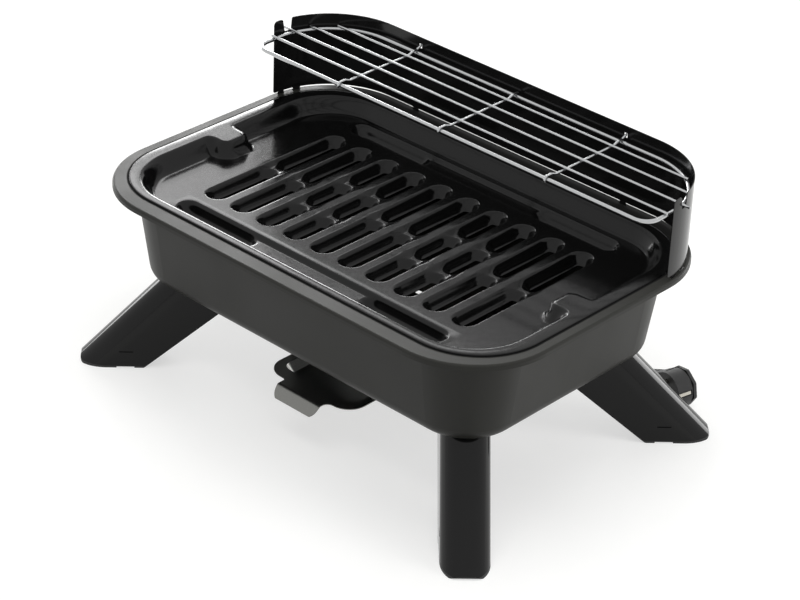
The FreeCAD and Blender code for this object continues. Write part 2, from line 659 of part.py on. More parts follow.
block_x_low = GLAND_X - TERMINAL_BLOCK[0] / 2
block_x_high = GLAND_X + TERMINAL_BLOCK[0] / 2
block_top = TERMINAL_BLOCK_Z + TERMINAL_BLOCK[2]
terminal_block = box(block_x_low, block_x_high, housing_inner_rear - TERMINAL_BLOCK[1], housing_inner_rear,
                     TERMINAL_BLOCK_Z, block_top)
save("terminal_block", [terminal_block])

thermostat_top = KNOB_Z + THERMOSTAT[2] / 2
bend_wire = INNER_WIRE * 1.2
wires = [rod(INNER_WIRE, V(block_x_high, LINK_WIRE_Y, LINK_WIRE_Z),
             V(KNOB_X - THERMOSTAT[0] / 2, LINK_WIRE_Y, LINK_WIRE_Z)),
         bent_rod([V(-TERMINAL_X, TERMINAL_Y, ELEMENT_Z), V(-TERMINAL_X, INNER_WIRE_Y, ELEMENT_Z),
                   V(-TERMINAL_X, INNER_WIRE_Y, block_top)], [0, bend_wire, 0], INNER_WIRE),
         bent_rod([V(TERMINAL_X, TERMINAL_Y, ELEMENT_Z), V(TERMINAL_X, INNER_WIRE_Y, ELEMENT_Z),
                   V(TERMINAL_X, INNER_WIRE_Y, thermostat_top)], [0, bend_wire, 0], INNER_WIRE)]
save("inner_wires", wires)

# Strain relief: a neck through the housing's floor, a collar on each side and a taper

collar_low = HOUSING_BOTTOM - COLLAR_HEIGHT
gland_low = collar_low - GLAND_LENGTH
gland = joined([rod(GLAND_NECK, V(GLAND_X, GLAND_Y, collar_low), V(GLAND_X, GLAND_Y, HOUSING_BOTTOM + 4)),
                rod(GLAND_COLLAR, V(GLAND_X, GLAND_Y, collar_low), V(GLAND_X, GLAND_Y, HOUSING_BOTTOM)),
                rod(GLAND_COLLAR, V(GLAND_X, GLAND_Y, HOUSING_BOTTOM + HOUSING_WALL),
                    V(GLAND_X, GLAND_Y, HOUSING_BOTTOM + HOUSING_WALL + COLLAR_HEIGHT)),
                Part.makeCone(GLAND_END / 2, GLAND_TOP / 2, GLAND_LENGTH, V(GLAND_X, GLAND_Y, gland_low))])
save("cord_strain_relief", [gland])


# Basin: rim with a turned-down lip, tapered wall, floor with a drain

rim_block = slab(RIM_X, RIM_Y, RIM_CORNER, RIM_Z - LIP_DEPTH, RIM_Z)
rim_block = rim_block.makeFillet(LIP_EDGE, level_edges(rim_block, RIM_Z))
under_rim = slab(RIM_X - BASIN_SHEET, RIM_Y - BASIN_SHEET, RIM_CORNER - BASIN_SHEET,
                 RIM_Z - LIP_DEPTH - 2, RIM_Z - BASIN_SHEET)
under_rim = under_rim.makeFillet(LIP_EDGE - BASIN_SHEET, level_edges(under_rim, RIM_Z - BASIN_SHEET))
drain_lip = rod(2 * (DRAIN_RADIUS + BASIN_SHEET), V(0, 0, FLOOR_Z - DRAIN_LIP), V(0, 0, floor_top))
basin = rim_block.cut(under_rim).fuse(basin_outside).cut(basin_inside)
basin = basin.fuse(drain_lip)
basin = basin.cut(rod(2 * DRAIN_RADIUS, V(0, 0, FLOOR_Z - 10), V(0, 0, FLOOR_Z + 10)))


def shield_band(inset, sheet, z_low, z_high):
    """Band that follows the rim's outline."""
    outer = prism(rim_ring(inset, z_low), V(0, 0, z_high - z_low))
    return outer.cut(prism(rim_ring(inset + sheet, z_low), V(0, 0, z_high - z_low)))


def tab_places(grow):
    """The places of the foot tabs, wider by a clearance."""
    half = TAB_HALF_WIDTH + grow
    places = []
    for side in (-1, 1):
        for y in TAB_SIDE_Y:
            low = min(side * RIM_X - RIM_CORNER, side * RIM_X)
            places.append(box(low, low + 2 * RIM_CORNER, y - half, y + half,
                              RIM_Z - RIM_CORNER, RIM_Z + RIM_CORNER))
        x = side * TAB_BACK_X
        places.append(box(x - half, x + half, 0, RIM_Y + RIM_CORNER, RIM_Z - RIM_CORNER, RIM_Z + RIM_CORNER))
    return places


slot_band = shield_band(SHIELD_INSET - TAB_CLEAR, SHIELD_SHEET + 2 * TAB_CLEAR,
                        RIM_Z - LIP_DEPTH, RIM_Z + LIP_DEPTH)
cuts = [slot_band.common(place) for place in tab_places(TAB_END_CLEAR)]
cuts += leg_screw_holes + rivet_holes + wall_holes
for x in (-TERMINAL_X, TERMINAL_X):
    cuts.append(rod(ELEMENT_TUBE + 2 * ELEMENT_CLEAR, V(x, 0, ELEMENT_Z), V(x, RIM_Y, ELEMENT_Z)))
for cut in cuts:
    basin = basin.cut(cut)
save("basin", [basin.removeSplitter()])


# Windshield: a band on the rim, trimmed by its side outline, with tabs, notches and hook slots

notch_y = LONG_WIRES[NOTCH_WIRE][0]
long_wire_z = SHIELD_TOP - RACK_BELOW_TOP
notch_bottom = long_wire_z - THIN_WIRE / 2 - NOTCH_PLAY
beyond_x = RIM_X + RIM_CORNER
shield_foot = RIM_Z + SHIELD_FOOT_GAP
side_outline = [(SHIELD_FRONT_Y, shield_foot), (SHIELD_FRONT_Y, SHIELD_TOP),
                (notch_y + NOTCH_TOP_Y[0], SHIELD_TOP), (notch_y + NOTCH_FOOT_Y[0], notch_bottom),
                (notch_y + NOTCH_FOOT_Y[1], notch_bottom), (notch_y + NOTCH_TOP_Y[1], SHIELD_TOP),
                (RIM_Y + RIM_CORNER, SHIELD_TOP), (RIM_Y + RIM_CORNER, shield_foot)]
side_radii = [SHIELD_FRONT_FOOT, SHIELD_FRONT_EDGE] + list(NOTCH_RADII) + [0, 0]
trim_wire = rounded_wire([V(-beyond_x, y, z) for y, z in side_outline], side_radii)
trim = prism(trim_wire, V(2 * beyond_x, 0, 0))
shield = shield_band(SHIELD_INSET, SHIELD_SHEET, RIM_Z, SHIELD_TOP).common(trim)
tab_band = shield_band(SHIELD_INSET, SHIELD_SHEET, RIM_Z - TAB_DROP, RIM_Z + SHIELD_FOOT_GAP)
shield = joined([shield] + [tab_band.common(place) for place in tab_places(0.0)])
frame_z = long_wire_z - THIN_WIRE / 2 - FRAME_WIRE / 2 + WELD
cross_z = long_wire_z - THIN_WIRE + WELD
shield_inner_y = RIM_Y - SHIELD_INSET - SHIELD_SHEET
hook_z = long_wire_z + HOOK_RISE
for side in (-1, 1):
    x = side * CROSS_WIRE_X
    shield = shield.cut(box(x - HOOK_SLOT_HALF_WIDTH, x + HOOK_SLOT_HALF_WIDTH, 0, RIM_Y + RIM_CORNER,
                            hook_z - HOOK_SLOT_HALF_HEIGHT, hook_z + HOOK_SLOT_HALF_HEIGHT))
save("windshield", [shield])


# Warming rack: frame loop, four long wires over it, three cross wires under them

rack_corners = [V(-RACK_X, RACK_FRONT_Y, frame_z), V(RACK_X, RACK_FRONT_Y, frame_z),
                V(RACK_X, RACK_REAR_Y, frame_z), V(-RACK_X, RACK_REAR_Y, frame_z)]
frame_radii = [RACK_FRONT_CORNER, RACK_FRONT_CORNER, RACK_REAR_CORNER, RACK_REAR_CORNER]
frame_wire = rounded_wire(rack_corners, frame_radii)
rack_frame = tube(frame_wire, V(-RACK_X, RACK_FRONT_Y + RACK_FRONT_CORNER, frame_z), V(0, -1, 0), FRAME_WIRE)
save("rack_frame", [rack_frame])

long_wires = []
for y, half in LONG_WIRES:
    long_wires.append(rod(THIN_WIRE, V(-half, y, long_wire_z), V(half, y, long_wire_z)))
save("rack_long_wires", long_wires)

wrap = (FRAME_WIRE + THIN_WIRE) / 2 - WELD
cross_wires = []
for x in (-CROSS_WIRE_X, 0.0, CROSS_WIRE_X):
    over_z = frame_z + wrap
    run = [V(x, RACK_FRONT_Y - wrap, frame_z - 1.5), V(x, RACK_FRONT_Y - wrap, over_z),
           V(x, RACK_FRONT_Y + 6, over_z), V(x, RACK_FRONT_Y + 12, cross_z),
           V(x, RACK_REAR_Y - 11, cross_z), V(x, RACK_REAR_Y - 5, over_z)]
    radii = [0, wrap * 0.98, 4, 4, 4, 4]
    if x == 0.0:
        run.append(V(x, RACK_REAR_Y + 2, over_z))
        radii.append(0)
    else:
        rise = (hook_z - over_z) / (shield_inner_y - RACK_REAR_Y)
        hook_end = shield_inner_y + HOOK_REACH
        run.append(V(x, RACK_REAR_Y, over_z))
        run.append(V(x, hook_end, over_z + rise * (hook_end - RACK_REAR_Y)))
        radii += [4, 0]
    cross_wires.append(bent_rod(run, radii, THIN_WIRE))
save("rack_cross_wires", cross_wires)


# Grill plate: a pressed pan with ten rows of pockets, two gutters and two bosses

plate_top = RIM_Z + PLATE_SHEET
field_z = plate_top - FIELD_DROP


def pan(growth, drop):
    return loft([rect_wire(PAN_TOP_X + growth, PAN_TOP_Y + growth, PLATE_CORNER - 10, plate_top - drop),
                 rect_wire(PAN_FIELD_X + growth, PAN_FIELD_Y + growth, PLATE_CORNER - 22, field_z - drop)])


def boss_solid(side, growth, drop):
    """Raised tongue that reaches in from the flange at a short side."""
    outer = PLATE_X - 2
    wires = []
    for z, spread in ((plate_top, 0.0), (field_z, BOSS_RUN)):
        inner = BOSS_INNER_X - spread + growth
        middle = side * (inner + outer) / 2
        half_y = BOSS_HALF_WIDTH + spread - growth
        wires.append(rect_wire((outer - inner) / 2, half_y, BOSS_CORNER, z - drop, middle, BOSS_Y))
    return loft(wires)


def pressed(x, y, top, bottom, z_top, z_bottom, along_x):
    """Pressed trough: the volume above the sheet and the volume that its under side fills."""
    growth = press_growth(top[1] - bottom[1], z_top - z_bottom, PLATE_SHEET)
    volumes = []
    for wider, lower in ((0.0, 0.0), (growth, PLATE_SHEET)):
        mouth = stadium_wire(x, y, top[0] + wider, top[1] + wider, z_top - lower, along_x)
        foot_line = stadium_wire(x, y, bottom[0] + wider, bottom[1] + wider, z_bottom - lower, along_x)
        volumes.append(loft([mouth, foot_line]))
    return volumes


pan_growth = press_growth(PAN_TOP_X - PAN_FIELD_X, FIELD_DROP, PLATE_SHEET)
boss_growth = press_growth(BOSS_RUN, FIELD_DROP, PLATE_SHEET)
pan_above = pan(0.0, 0.0)
pan_below = pan(pan_growth, PLATE_SHEET)
for side in (-1, 1):
    pan_above = pan_above.cut(boss_solid(side, 0.0, 0.0))
    pan_below = pan_below.cut(boss_solid(side, boss_growth, PLATE_SHEET))

above = [pan_above]
below = [pan_below]
openings = []
saddle_z = field_z - SADDLE_DROP
pocket_z = field_z - POCKET_DROP
shallow_run = ROW_HALF_WIDTH - SADDLE_HALF_WIDTH
pocket_run = SADDLE_HALF_WIDTH - POCKET_HALF_WIDTH


def add_trough(x, y, half_length, half_width, pockets, along_x, open_floor):
    """A shallow trough with deeper pockets, each from one place to another along the trough."""
    top = (half_length, half_width)
    saddle = (half_length - shallow_run, half_width - shallow_run)
    upper, lower = pressed(x, y, top, saddle, field_z, saddle_z, along_x)
    above.append(upper)
    below.append(lower)
    for start, end in pockets:
        middle = (start + end) / 2
        reach = (end - start) / 2
        px = x + middle if along_x else x
        py = y if along_x else y + middle
        deep = (reach - pocket_run, half_width - shallow_run - pocket_run)
        upper, lower = pressed(px, py, (reach, half_width - shallow_run), deep, saddle_z, pocket_z, along_x)
        above.append(upper)
        below.append(lower)
        if open_floor:
            wire = stadium_wire(px, py, deep[0] - SLOT_LEDGE, deep[1] - SLOT_LEDGE, pocket_z - 5, along_x)
            openings.append(prism(wire, V(0, 0, 10)))


row_end = ROW_HALF_LENGTH - shallow_run
for row in range(ROWS):
    x = (row - (ROWS - 1) / 2) * ROW_PITCH
    if (row // 2) % 2 == 0:
        saddles = [0.0]
    else:
        saddles = [-SADDLE_PAIR_Y, SADDLE_PAIR_Y]
    starts = [-row_end] + [y + SADDLE_HALF_LENGTH for y in saddles]
    ends = [y - SADDLE_HALF_LENGTH for y in saddles] + [row_end]
    add_trough(x, 0.0, ROW_HALF_LENGTH, ROW_HALF_WIDTH, list(zip(starts, ends)), False, True)
gutter_end = GUTTER_HALF_LENGTH - shallow_run
gutter_pockets = [(-gutter_end, -GUTTER_SHALLOW_X), (GUTTER_SHALLOW_X, gutter_end)]
for y in (-GUTTER_Y, GUTTER_Y):
    add_trough(0.0, y, GUTTER_HALF_LENGTH, GUTTER_HALF_WIDTH, gutter_pockets, True, False)

flange = slab(PLATE_X, PLATE_Y, PLATE_CORNER, RIM_Z, plate_top)
plate = flange.multiFuse(below).cut(Part.makeCompound(above)).cut(Part.makeCompound(openings))
save("grill_plate", [plate.removeSplitter()])


# Cord: lead from the strain relief to the coil, the coil, and a tail to the plug

def cord_run(points):
    """Tube along straight runs with tangent arcs that take most of the shorter run."""
    radii = [0.0]
    for i in range(1, len(points) - 1):
        back = points[i] - points[i - 1]
        ahead = points[i + 1] - points[i]
        turn = back.getAngle(ahead)
        radii.append(0.45 * min(back.Length, ahead.Length) / math.tan(turn / 2))
    radii.append(0.0)
    wire = rounded_wire(points, radii, False)
    shape = tube(wire, points[0], points[1] - points[0], CORD)
    section = math.pi * CORD * CORD / 4
    print("cord run", round(wire.Length, 1), "radii", [round(r, 1) for r in radii],
          "volume ratio", round(shape.Volume / (section * wire.Length), 4))
    return shape


coil_outer_radius = COIL_MIDDLE_RADIUS + COIL_PITCH * COIL_TURNS / 2
coil_start = V(GLAND_X - 3, COIL_Y, COIL_LOW_Z)
coil_x = coil_start.x + coil_outer_radius


def coil_point(turns):
    """Place on the coil after a number of turns: in along the floor, up a layer, and out again."""
    angle = math.pi - 2 * math.pi * turns
    from_middle = turns - COIL_TURNS / 2
    radius = COIL_MIDDLE_RADIUS + COIL_PITCH * abs(from_middle)
    climb = min(max(from_middle + 0.25, 0.0), 0.5) / 0.5
    z = COIL_LOW_Z + COIL_LAYER * climb * climb * (3 - 2 * climb)
    return V(coil_x + radius * math.cos(angle), COIL_Y + radius * math.sin(angle), z)


def coil_direction(turns):
    step = 1e-4
    return (coil_point(turns + step) - coil_point(turns - step)).normalize()


def biarc(start, start_way, end, end_way):
    """Two arcs that leave and arrive along given directions."""
    chord = end - start
    ways = start_way + end_way
    spread = 2 * (1 - start_way.dot(end_way))
    along = chord.dot(ways)
    reach = (math.sqrt(along * along + 2 * spread * chord.dot(chord) / 2) - along) / spread
    first = start + start_way * reach
    second = end - end_way * reach
    middle = (first + second) * 0.5
    arcs = []
    for a, corner, b in ((start, first, middle), (middle, second, end)):
        to_a = (a - corner).normalize()
        to_b = (b - corner).normalize()
        half = to_a.getAngle(to_b) / 2
        radius = (a - corner).Length * math.tan(half)
        top = corner + (to_a + to_b).normalize() * (radius / math.sin(half) - radius)
        arcs.append(Part.Arc(a, top, b).toShape())
    return arcs


lead_run = 29.5
lead_way = [V(GLAND_X, GLAND_Y, gland_low)]
lead_bends = [math.radians(30), math.radians(60)]
lead_drop = lead_run * (math.cos(lead_bends[0]) + math.cos(lead_bends[1]))
lead_way.append(V(GLAND_X, GLAND_Y, COIL_LOW_Z + lead_drop))
for bend_angle in lead_bends:
    step = V(0, math.sin(bend_angle), -math.cos(bend_angle)) * lead_run
    lead_way.append(lead_way[-1] + step)
coil_entry = coil_start - V(0, CORD, 0)
lead_way.append(coil_entry - V(0, (coil_entry.y - lead_way[-1].y) / 2, 0))
lead_way.append(coil_entry)
save("cord_lead", [cord_run(lead_way)])

coil_ways = [V(0, 1, 0)]
coil_places = [coil_start]
for i in range(1, COIL_STEPS + 1):
    turns = COIL_TURNS * i / COIL_STEPS
    coil_places.append(coil_point(turns))
    coil_ways.append(coil_direction(turns))
coil_ways[-1] = V(coil_ways[-1].x, coil_ways[-1].y, 0).normalize()
coil_exit = coil_places[-1] + coil_ways[-1] * CORD
coil_edges = [Part.makeLine(coil_entry, coil_start)]
for i in range(COIL_STEPS):
    coil_edges += biarc(coil_places[i], coil_ways[i], coil_places[i + 1], coil_ways[i + 1])
coil_edges.append(Part.makeLine(coil_places[-1], coil_exit))
coil_wire = Part.Wire(coil_edges)
coil = tube(coil_wire, coil_entry, V(0, 1, 0), CORD)
save("cord_coil", [coil])
coil_marks = []
for edge in coil_edges:
    count = max(2, int(edge.Length / 2.5))
    first_mark = edge.FirstParameter
    span = edge.LastParameter - edge.FirstParameter
    coil_marks += [edge.valueAt(first_mark + span * k / count) for k in range(count)]
least = 1e9
for i in range(len(coil_marks)):
    for j in range(i + 12, len(coil_marks)):
        least = min(least, coil_marks[i].distanceToPoint(coil_marks[j]))
print("coil length", round(coil_wire.Length, 1), "least self gap", round(least - CORD, 2), "volume ratio",
      round(coil.Volume / (math.pi * CORD * CORD / 4 * coil_wire.Length), 4))

tie_angle = math.radians(TIE_ANGLE)
tie_inner = COIL_MIDDLE_RADIUS - CORD / 2 - TIE_PLAY
tie_outer = COIL_MIDDLE_RADIUS + 2 * COIL_PITCH + CORD / 2 + TIE_PLAY
tie_low = COIL_LOW_Z - CORD / 2 - TIE_PLAY
tie_high = COIL_LOW_Z + COIL_LAYER + CORD / 2 + TIE_PLAY


def tie_block(grow):
    half = (tie_outer - tie_inner) / 2 + grow
    half_z = (tie_high - tie_low) / 2 + grow
    middle_r = (tie_outer + tie_inner) / 2
    middle_z = (tie_high + tie_low) / 2
    y = -TIE_WIDTH / 2
    points = [V(middle_r - half, y, middle_z - half_z), V(middle_r + half, y, middle_z - half_z),
              V(middle_r + half, y, middle_z + half_z), V(middle_r - half, y, middle_z + half_z)]
    return prism(rounded_wire(points, [1.0 + grow] * 4), V(0, TIE_WIDTH, 0))


tie = tie_block(TIE_SHEET).cut(tie_block(0.0))
tie.rotate(V(0, 0, 0), V(0, 0, 1), TIE_ANGLE)
tie.translate(V(coil_x, COIL_Y, 0))
save("cord_tie", [tie])


# Plug: an inset barrel, a cap with a ribbed grip, two pins and two earth clips, lying on the floor

cap_corner = CAP_APOTHEM / math.cos(math.pi / 8)
plug_z = cap_corner * math.cos(math.pi / 8 - math.radians(PLUG_ROLL)) + PLUG_FLOOR


def placed_plug(shape):
    placed = shape.copy()
    placed.rotate(V(0, 0, 0), V(0, 1, 0), -PLUG_ROLL)
    placed.rotate(V(0, 0, 0), V(0, 0, 1), PLUG_YAW)
    placed.translate(V(PLUG_AT[0], PLUG_AT[1], plug_z))
    return placed


def grip(inset):
    """The grip as a loft of rounded rectangles that shrink away from the barrel."""
    wires = []
    for x, half_y, half_z in GRIP_SECTIONS:
        y = half_y - inset
        z = half_z - inset
        front = GRIP_SHIFT - y
        rear = GRIP_SHIFT + y
        points = [V(x, front, -z), V(x, rear, -z), V(x, rear, z), V(x, front, z)]
        wires.append(rounded_wire(points, [GRIP_CORNER - inset] * 4))
    return loft(wires)


barrel = rod(2 * PLUG_RADIUS, V(0, PLUG_FACE, 0), V(0, BARREL_BACK, 0))
barrel = barrel.makeChamfer(BARREL_EDGE, [e for e in barrel.Edges if e.BoundBox.YMin > BARREL_BACK - 0.01])
neck = rod(2 * NECK_RADIUS, V(0, PLUG_FACE + 1, 0), V(0, CAP_BACK - 1, 0))
cap_wire = [V(cap_corner * math.cos(math.pi / 8 + math.pi / 4 * k), CAP_FRONT,
              cap_corner * math.sin(math.pi / 8 + math.pi / 4 * k)) for k in range(8)]
cap = prism(rounded_wire(cap_wire, [GRIP_CORNER] * 8), V(0, CAP_BACK - CAP_FRONT, 0))
cap = cap.makeFillet(CAP_EDGE, [e for e in cap.Edges if e.BoundBox.YMin > CAP_BACK - 0.01])
ribbed_grip = grip(0.0)
grip_core = grip(GROOVE_DEPTH)
for x in GRIP_GROOVES:
    slice_box = box(x, x + GROOVE_WIDTH, -PLUG_RADIUS, 2 * PLUG_RADIUS, -PLUG_RADIUS, PLUG_RADIUS)
    ribbed_grip = ribbed_grip.cut(slice_box.cut(grip_core))
plug_body = joined([barrel, neck, cap, ribbed_grip])
clip_bed = PLUG_RADIUS - CLIP_BED_DEPTH
clips = []
for side, back, bed_end in ((1, CLIP_BACK[0], CLIP_BED_END), (-1, CLIP_BACK[1], 0.0)):
    low = min(side * clip_bed, side * 2 * PLUG_RADIUS)
    high = max(side * clip_bed, side * 2 * PLUG_RADIUS)
    bed = box(low, high, PLUG_FACE - CLIP_BED_DEPTH, back + bed_end, -CLIP_BED_WIDTH / 2, CLIP_BED_WIDTH / 2)
    plug_body = plug_body.cut(bed)
    clip_low = min(side * clip_bed, side * (clip_bed + CLIP_SHEET))
    clip_high = max(side * clip_bed, side * (clip_bed + CLIP_SHEET))
    clips.append(placed_plug(box(clip_low, clip_high, PLUG_FACE, back, -CLIP_WIDTH / 2, CLIP_WIDTH / 2)))
pins = []
for side in (-1, 1):
    base = V(0, PLUG_FACE, side * PIN_SPACING / 2)
    pin = rod(PIN, base, base - V(0, PIN_LENGTH, 0))
    tip_edges = [e for e in pin.Edges if e.BoundBox.YMax < PLUG_FACE - PIN_LENGTH + 0.01]
    pins.append(placed_plug(pin.makeFillet(PIN / 4, tip_edges)))
save("plug_body", [placed_plug(plug_body)])
save("plug_pins", pins)
save("plug_earth_clips", clips)

yaw = math.radians(PLUG_YAW)
roll = math.radians(PLUG_ROLL)
grip_way = V(math.cos(roll) * math.cos(yaw), math.cos(roll) * math.sin(yaw), math.sin(roll))
grip_side = V(-math.sin(yaw), math.cos(yaw), 0)
plug_middle = V(PLUG_AT[0], PLUG_AT[1], plug_z)
plug_entry = plug_middle + grip_way * GRIP_SECTIONS[-1][0] + grip_side * GRIP_SHIFT
tail_way = [coil_exit, coil_exit + coil_ways[-1] * 22, V(82, 259, COIL_LOW_Z + 2.5), V(101, 237, 4.4),
            V(119, 214, 4.2), plug_entry - grip_way * 22, plug_entry]
save("cord_tail", [cord_run(tail_way)])
print("coil centre", round(coil_x, 2), COIL_Y, "outer radius", round(coil_outer_radius, 2))
print("plug entry", plug_entry, "coil exit", coil_exit)
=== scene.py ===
import bpy
import bmesh
import math
import numpy as np
from mathutils import Matrix, Vector


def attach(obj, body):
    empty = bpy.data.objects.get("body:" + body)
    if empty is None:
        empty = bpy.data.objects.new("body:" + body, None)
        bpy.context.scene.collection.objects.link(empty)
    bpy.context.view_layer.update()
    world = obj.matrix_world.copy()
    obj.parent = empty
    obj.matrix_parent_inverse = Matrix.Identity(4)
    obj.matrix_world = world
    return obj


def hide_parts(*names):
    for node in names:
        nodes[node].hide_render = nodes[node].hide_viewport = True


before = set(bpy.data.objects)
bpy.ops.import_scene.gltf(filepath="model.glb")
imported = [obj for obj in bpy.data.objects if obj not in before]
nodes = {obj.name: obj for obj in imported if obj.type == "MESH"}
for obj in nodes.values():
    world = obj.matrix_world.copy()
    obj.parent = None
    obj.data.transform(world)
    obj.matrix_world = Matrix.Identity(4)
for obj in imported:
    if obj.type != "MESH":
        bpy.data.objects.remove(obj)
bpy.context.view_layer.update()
scene = bpy.context.scene
scene.view_settings.view_transform = "Standard"
MM = 0.001


# Camera: a long lens at about 2.5 m, to the right of the front and above the rim,
# with a slight roll, so that the plate, two walls of the basin and three legs show.
CAMERA_AT = (1.4190, -1.5531, 1.3464)
AZIMUTH = math.radians(42.2512)
ELEVATION = math.radians(30.620)
ROLL = math.radians(-2.3608)
LENS = 119.19
SENSOR = 36.0
back = Vector((math.sin(AZIMUTH) * math.cos(ELEVATION),
               -math.cos(AZIMUTH) * math.cos(ELEVATION),
               math.sin(ELEVATION)))
level = Vector((math.cos(AZIMUTH), math.sin(AZIMUTH), 0.0))
upright = back.cross(level)
across = level * math.cos(ROLL) - upright * math.sin(ROLL)
upward = level * math.sin(ROLL) + upright * math.cos(ROLL)
camera = bpy.data.objects.new("camera", bpy.data.cameras.new("camera"))
camera.data.sensor_fit = "HORIZONTAL"
camera.data.sensor_width = SENSOR
camera.data.lens = LENS
turn = Matrix((across, upward, back)).transposed()
camera.matrix_world = Matrix.Translation(CAMERA_AT) @ turn.to_4x4()
scene.collection.objects.link(camera)
scene.camera = camera


# Floor and light: a white studio sweep, lit by broad soft panels. The floor is a plain pale
# paper that keeps a soft shadow, and the room is white where the camera and gloss look at it.
FLOOR_HALF = 9.0
FLOOR_GLOW = 0.58
PAPER_FIBRE = 50 / 3
ROOM_LIGHT = 0.30
ROOM_WHITE = 1.0
# Each panel: name, place, target, width and height in m, power in W, and whether gloss mirrors it
PANELS = (("panel_over", (0.1, -0.3, 1.9), (0.0, 0.0, 0.15), 1.6, 1.6, 25.0, False),
          ("panel_left", (-1.45, 0.75, 0.95), (-0.15, 0.0, 0.18), 0.7, 0.7, 4.2, True),
          ("panel_right", (1.9, 0.8, 0.8), (0.2, 0.05, 0.15), 0.8, 1.2, 16.0, False),
          ("strip_left", (-1.31, 1.15, 0.77), (0.0, 0.0, 0.18), 0.64, 0.2, 6.0, True),
          ("strip_rear", (-1.25, 0.98, 1.2), (-1.25, 0.98, 0.0), 1.1, 0.22, 2.6, True),
          ("low_left", (-1.7, 0.25, 0.22), (-0.28, -0.20, 0.09), 0.9, 0.36, 5.5, True),
          ("low_back", (0.40, 1.75, 0.26), (0.30, 0.25, 0.09), 1.2, 0.44, 9.0, True))


def linear(code):
    """Linear red, green and blue of an sRGB hex colour: a line near black and a power above it."""
    parts = [int(code[i:i + 2], 16) / 255 for i in (1, 3, 5)]
    return tuple(c / 12.92 if c <= 0.04045 else ((c + 0.055) / 1.055) ** 2.4 for c in parts) + (1.0,)


def add_node(tree, kind, inputs=None, **settings):
    """Adds one node. Settings are its own properties; inputs are values or the sockets they come from."""
    made = tree.nodes.new(kind)
    for name, value in settings.items():
        setattr(made, name, value)
    for name, value in (inputs or {}).items():
        if isinstance(value, bpy.types.NodeSocket):
            tree.links.new(value, made.inputs[name])
        else:
            made.inputs[name].default_value = value
    return made


def new_finish(name):
    """A material with an empty node tree, the tree, and the object's own coordinates in it."""
    finish = bpy.data.materials.new(name)
    finish.use_nodes = True
    tree = finish.node_tree
    tree.nodes.clear()
    return finish, tree, add_node(tree, "ShaderNodeTexCoord").outputs["Object"]


def noise(tree, place, grain, detail):
    """Noise with a grain size in mm."""
    inputs = {"Vector": place, "Scale": 1 / (grain * MM), "Detail": detail}
    return add_node(tree, "ShaderNodeTexNoise", inputs).outputs["Fac"]


def blend(tree, factor, first, second):
    """Colour that a texture moves between two sRGB codes."""
    inputs = {"Factor": factor, "A": linear(first), "B": linear(second)}
    return add_node(tree, "ShaderNodeMix", inputs, data_type="RGBA").outputs["Result"]


def math_node(tree, operation, first, second):
    """Product, maximum or test of two numbers."""
    return add_node(tree, "ShaderNodeMath", {0: first, 1: second}, operation=operation).outputs[0]


def seen_directly(tree):
    """1 for camera, glossy and transmission rays, and 0 for the diffuse rays that carry the light."""
    rays = add_node(tree, "ShaderNodeLightPath").outputs
    either = math_node(tree, "MAXIMUM", rays["Is Camera Ray"], rays["Is Glossy Ray"])
    return math_node(tree, "MAXIMUM", either, rays["Is Transmission Ray"])


paper, tree, place = new_finish("white_paper_sweep")
fibre = noise(tree, place, PAPER_FIBRE, 3.0)
sheet = add_node(tree, "ShaderNodeBsdfDiffuse", {"Color": blend(tree, fibre, "#b4b4b2", "#babab8")})
strength = math_node(tree, "MULTIPLY", seen_directly(tree), FLOOR_GLOW)
glow = add_node(tree, "ShaderNodeEmission", {"Color": linear("#ffffff"), "Strength": strength})
both = add_node(tree, "ShaderNodeAddShader", {0: sheet.outputs[0], 1: glow.outputs[0]})
add_node(tree, "ShaderNodeOutputMaterial", {"Surface": both.outputs[0]})

sweep = bpy.data.meshes.new("floor")
sweep.from_pydata([(-FLOOR_HALF, -FLOOR_HALF, 0), (FLOOR_HALF, -FLOOR_HALF, 0),
                   (FLOOR_HALF, FLOOR_HALF, 0), (-FLOOR_HALF, FLOOR_HALF, 0)], [], [(0, 1, 2, 3)])
sweep.materials.append(paper)
floor = bpy.data.objects.new("floor", sweep)
scene.collection.objects.link(floor)

room = bpy.data.worlds.new("white_room")
room.use_nodes = True
tree = room.node_tree
tree.nodes.clear()
dim = add_node(tree, "ShaderNodeBackground", {"Color": linear("#ffffff"), "Strength": ROOM_LIGHT})
white = add_node(tree, "ShaderNodeBackground", {"Color": linear("#ffffff"), "Strength": ROOM_WHITE})
direct = seen_directly(tree)
mixed = add_node(tree, "ShaderNodeMixShader", {0: direct, 1: dim.outputs[0], 2: white.outputs[0]})
add_node(tree, "ShaderNodeOutputWorld", {"Surface": mixed.outputs[0]})
scene.world = room

for name, spot, target, width, height, power, mirrored in PANELS:
    lamp = bpy.data.lights.new(name, "AREA")
    lamp.shape = "RECTANGLE"
    lamp.size = width
    lamp.size_y = height
    lamp.energy = power
    held = bpy.data.objects.new(name, lamp)
    held.location = spot
    held.rotation_euler = (Vector(target) - Vector(spot)).to_track_quat("-Z", "Y").to_euler()
    held.visible_glossy = mirrored
    scene.collection.objects.link(held)


# Basin: one deep-drawn bowl of 1 mm sheet steel with a turned-down rim, sprayed with a heat-proof
# satin black that leaves a fine orange peel. Painted shadow darkens the rim along the edge of the plate
# that lies on it, in place of the shadow gap there, and painted shade darkens the rim under the windshield.
# Painted shadow, in m: it fades between two radii round the corner centres of the plate's edge
SEAT_CENTRE = (0.168, 0.080, 1.0)
SEAT_SHADOW_FADE = (0.0713, 0.0726)
RIM_ABOVE = 0.1915
SHELTER_SHADE_FADE = (0.128, 0.150)
SHELTER_SHADE_DEPTH = 0.85
SHADE_BAND_ROUGHNESS = 0.95
# The range that most of a noise lies in
MIDDLE_NOISE = (0.3, 0.7)


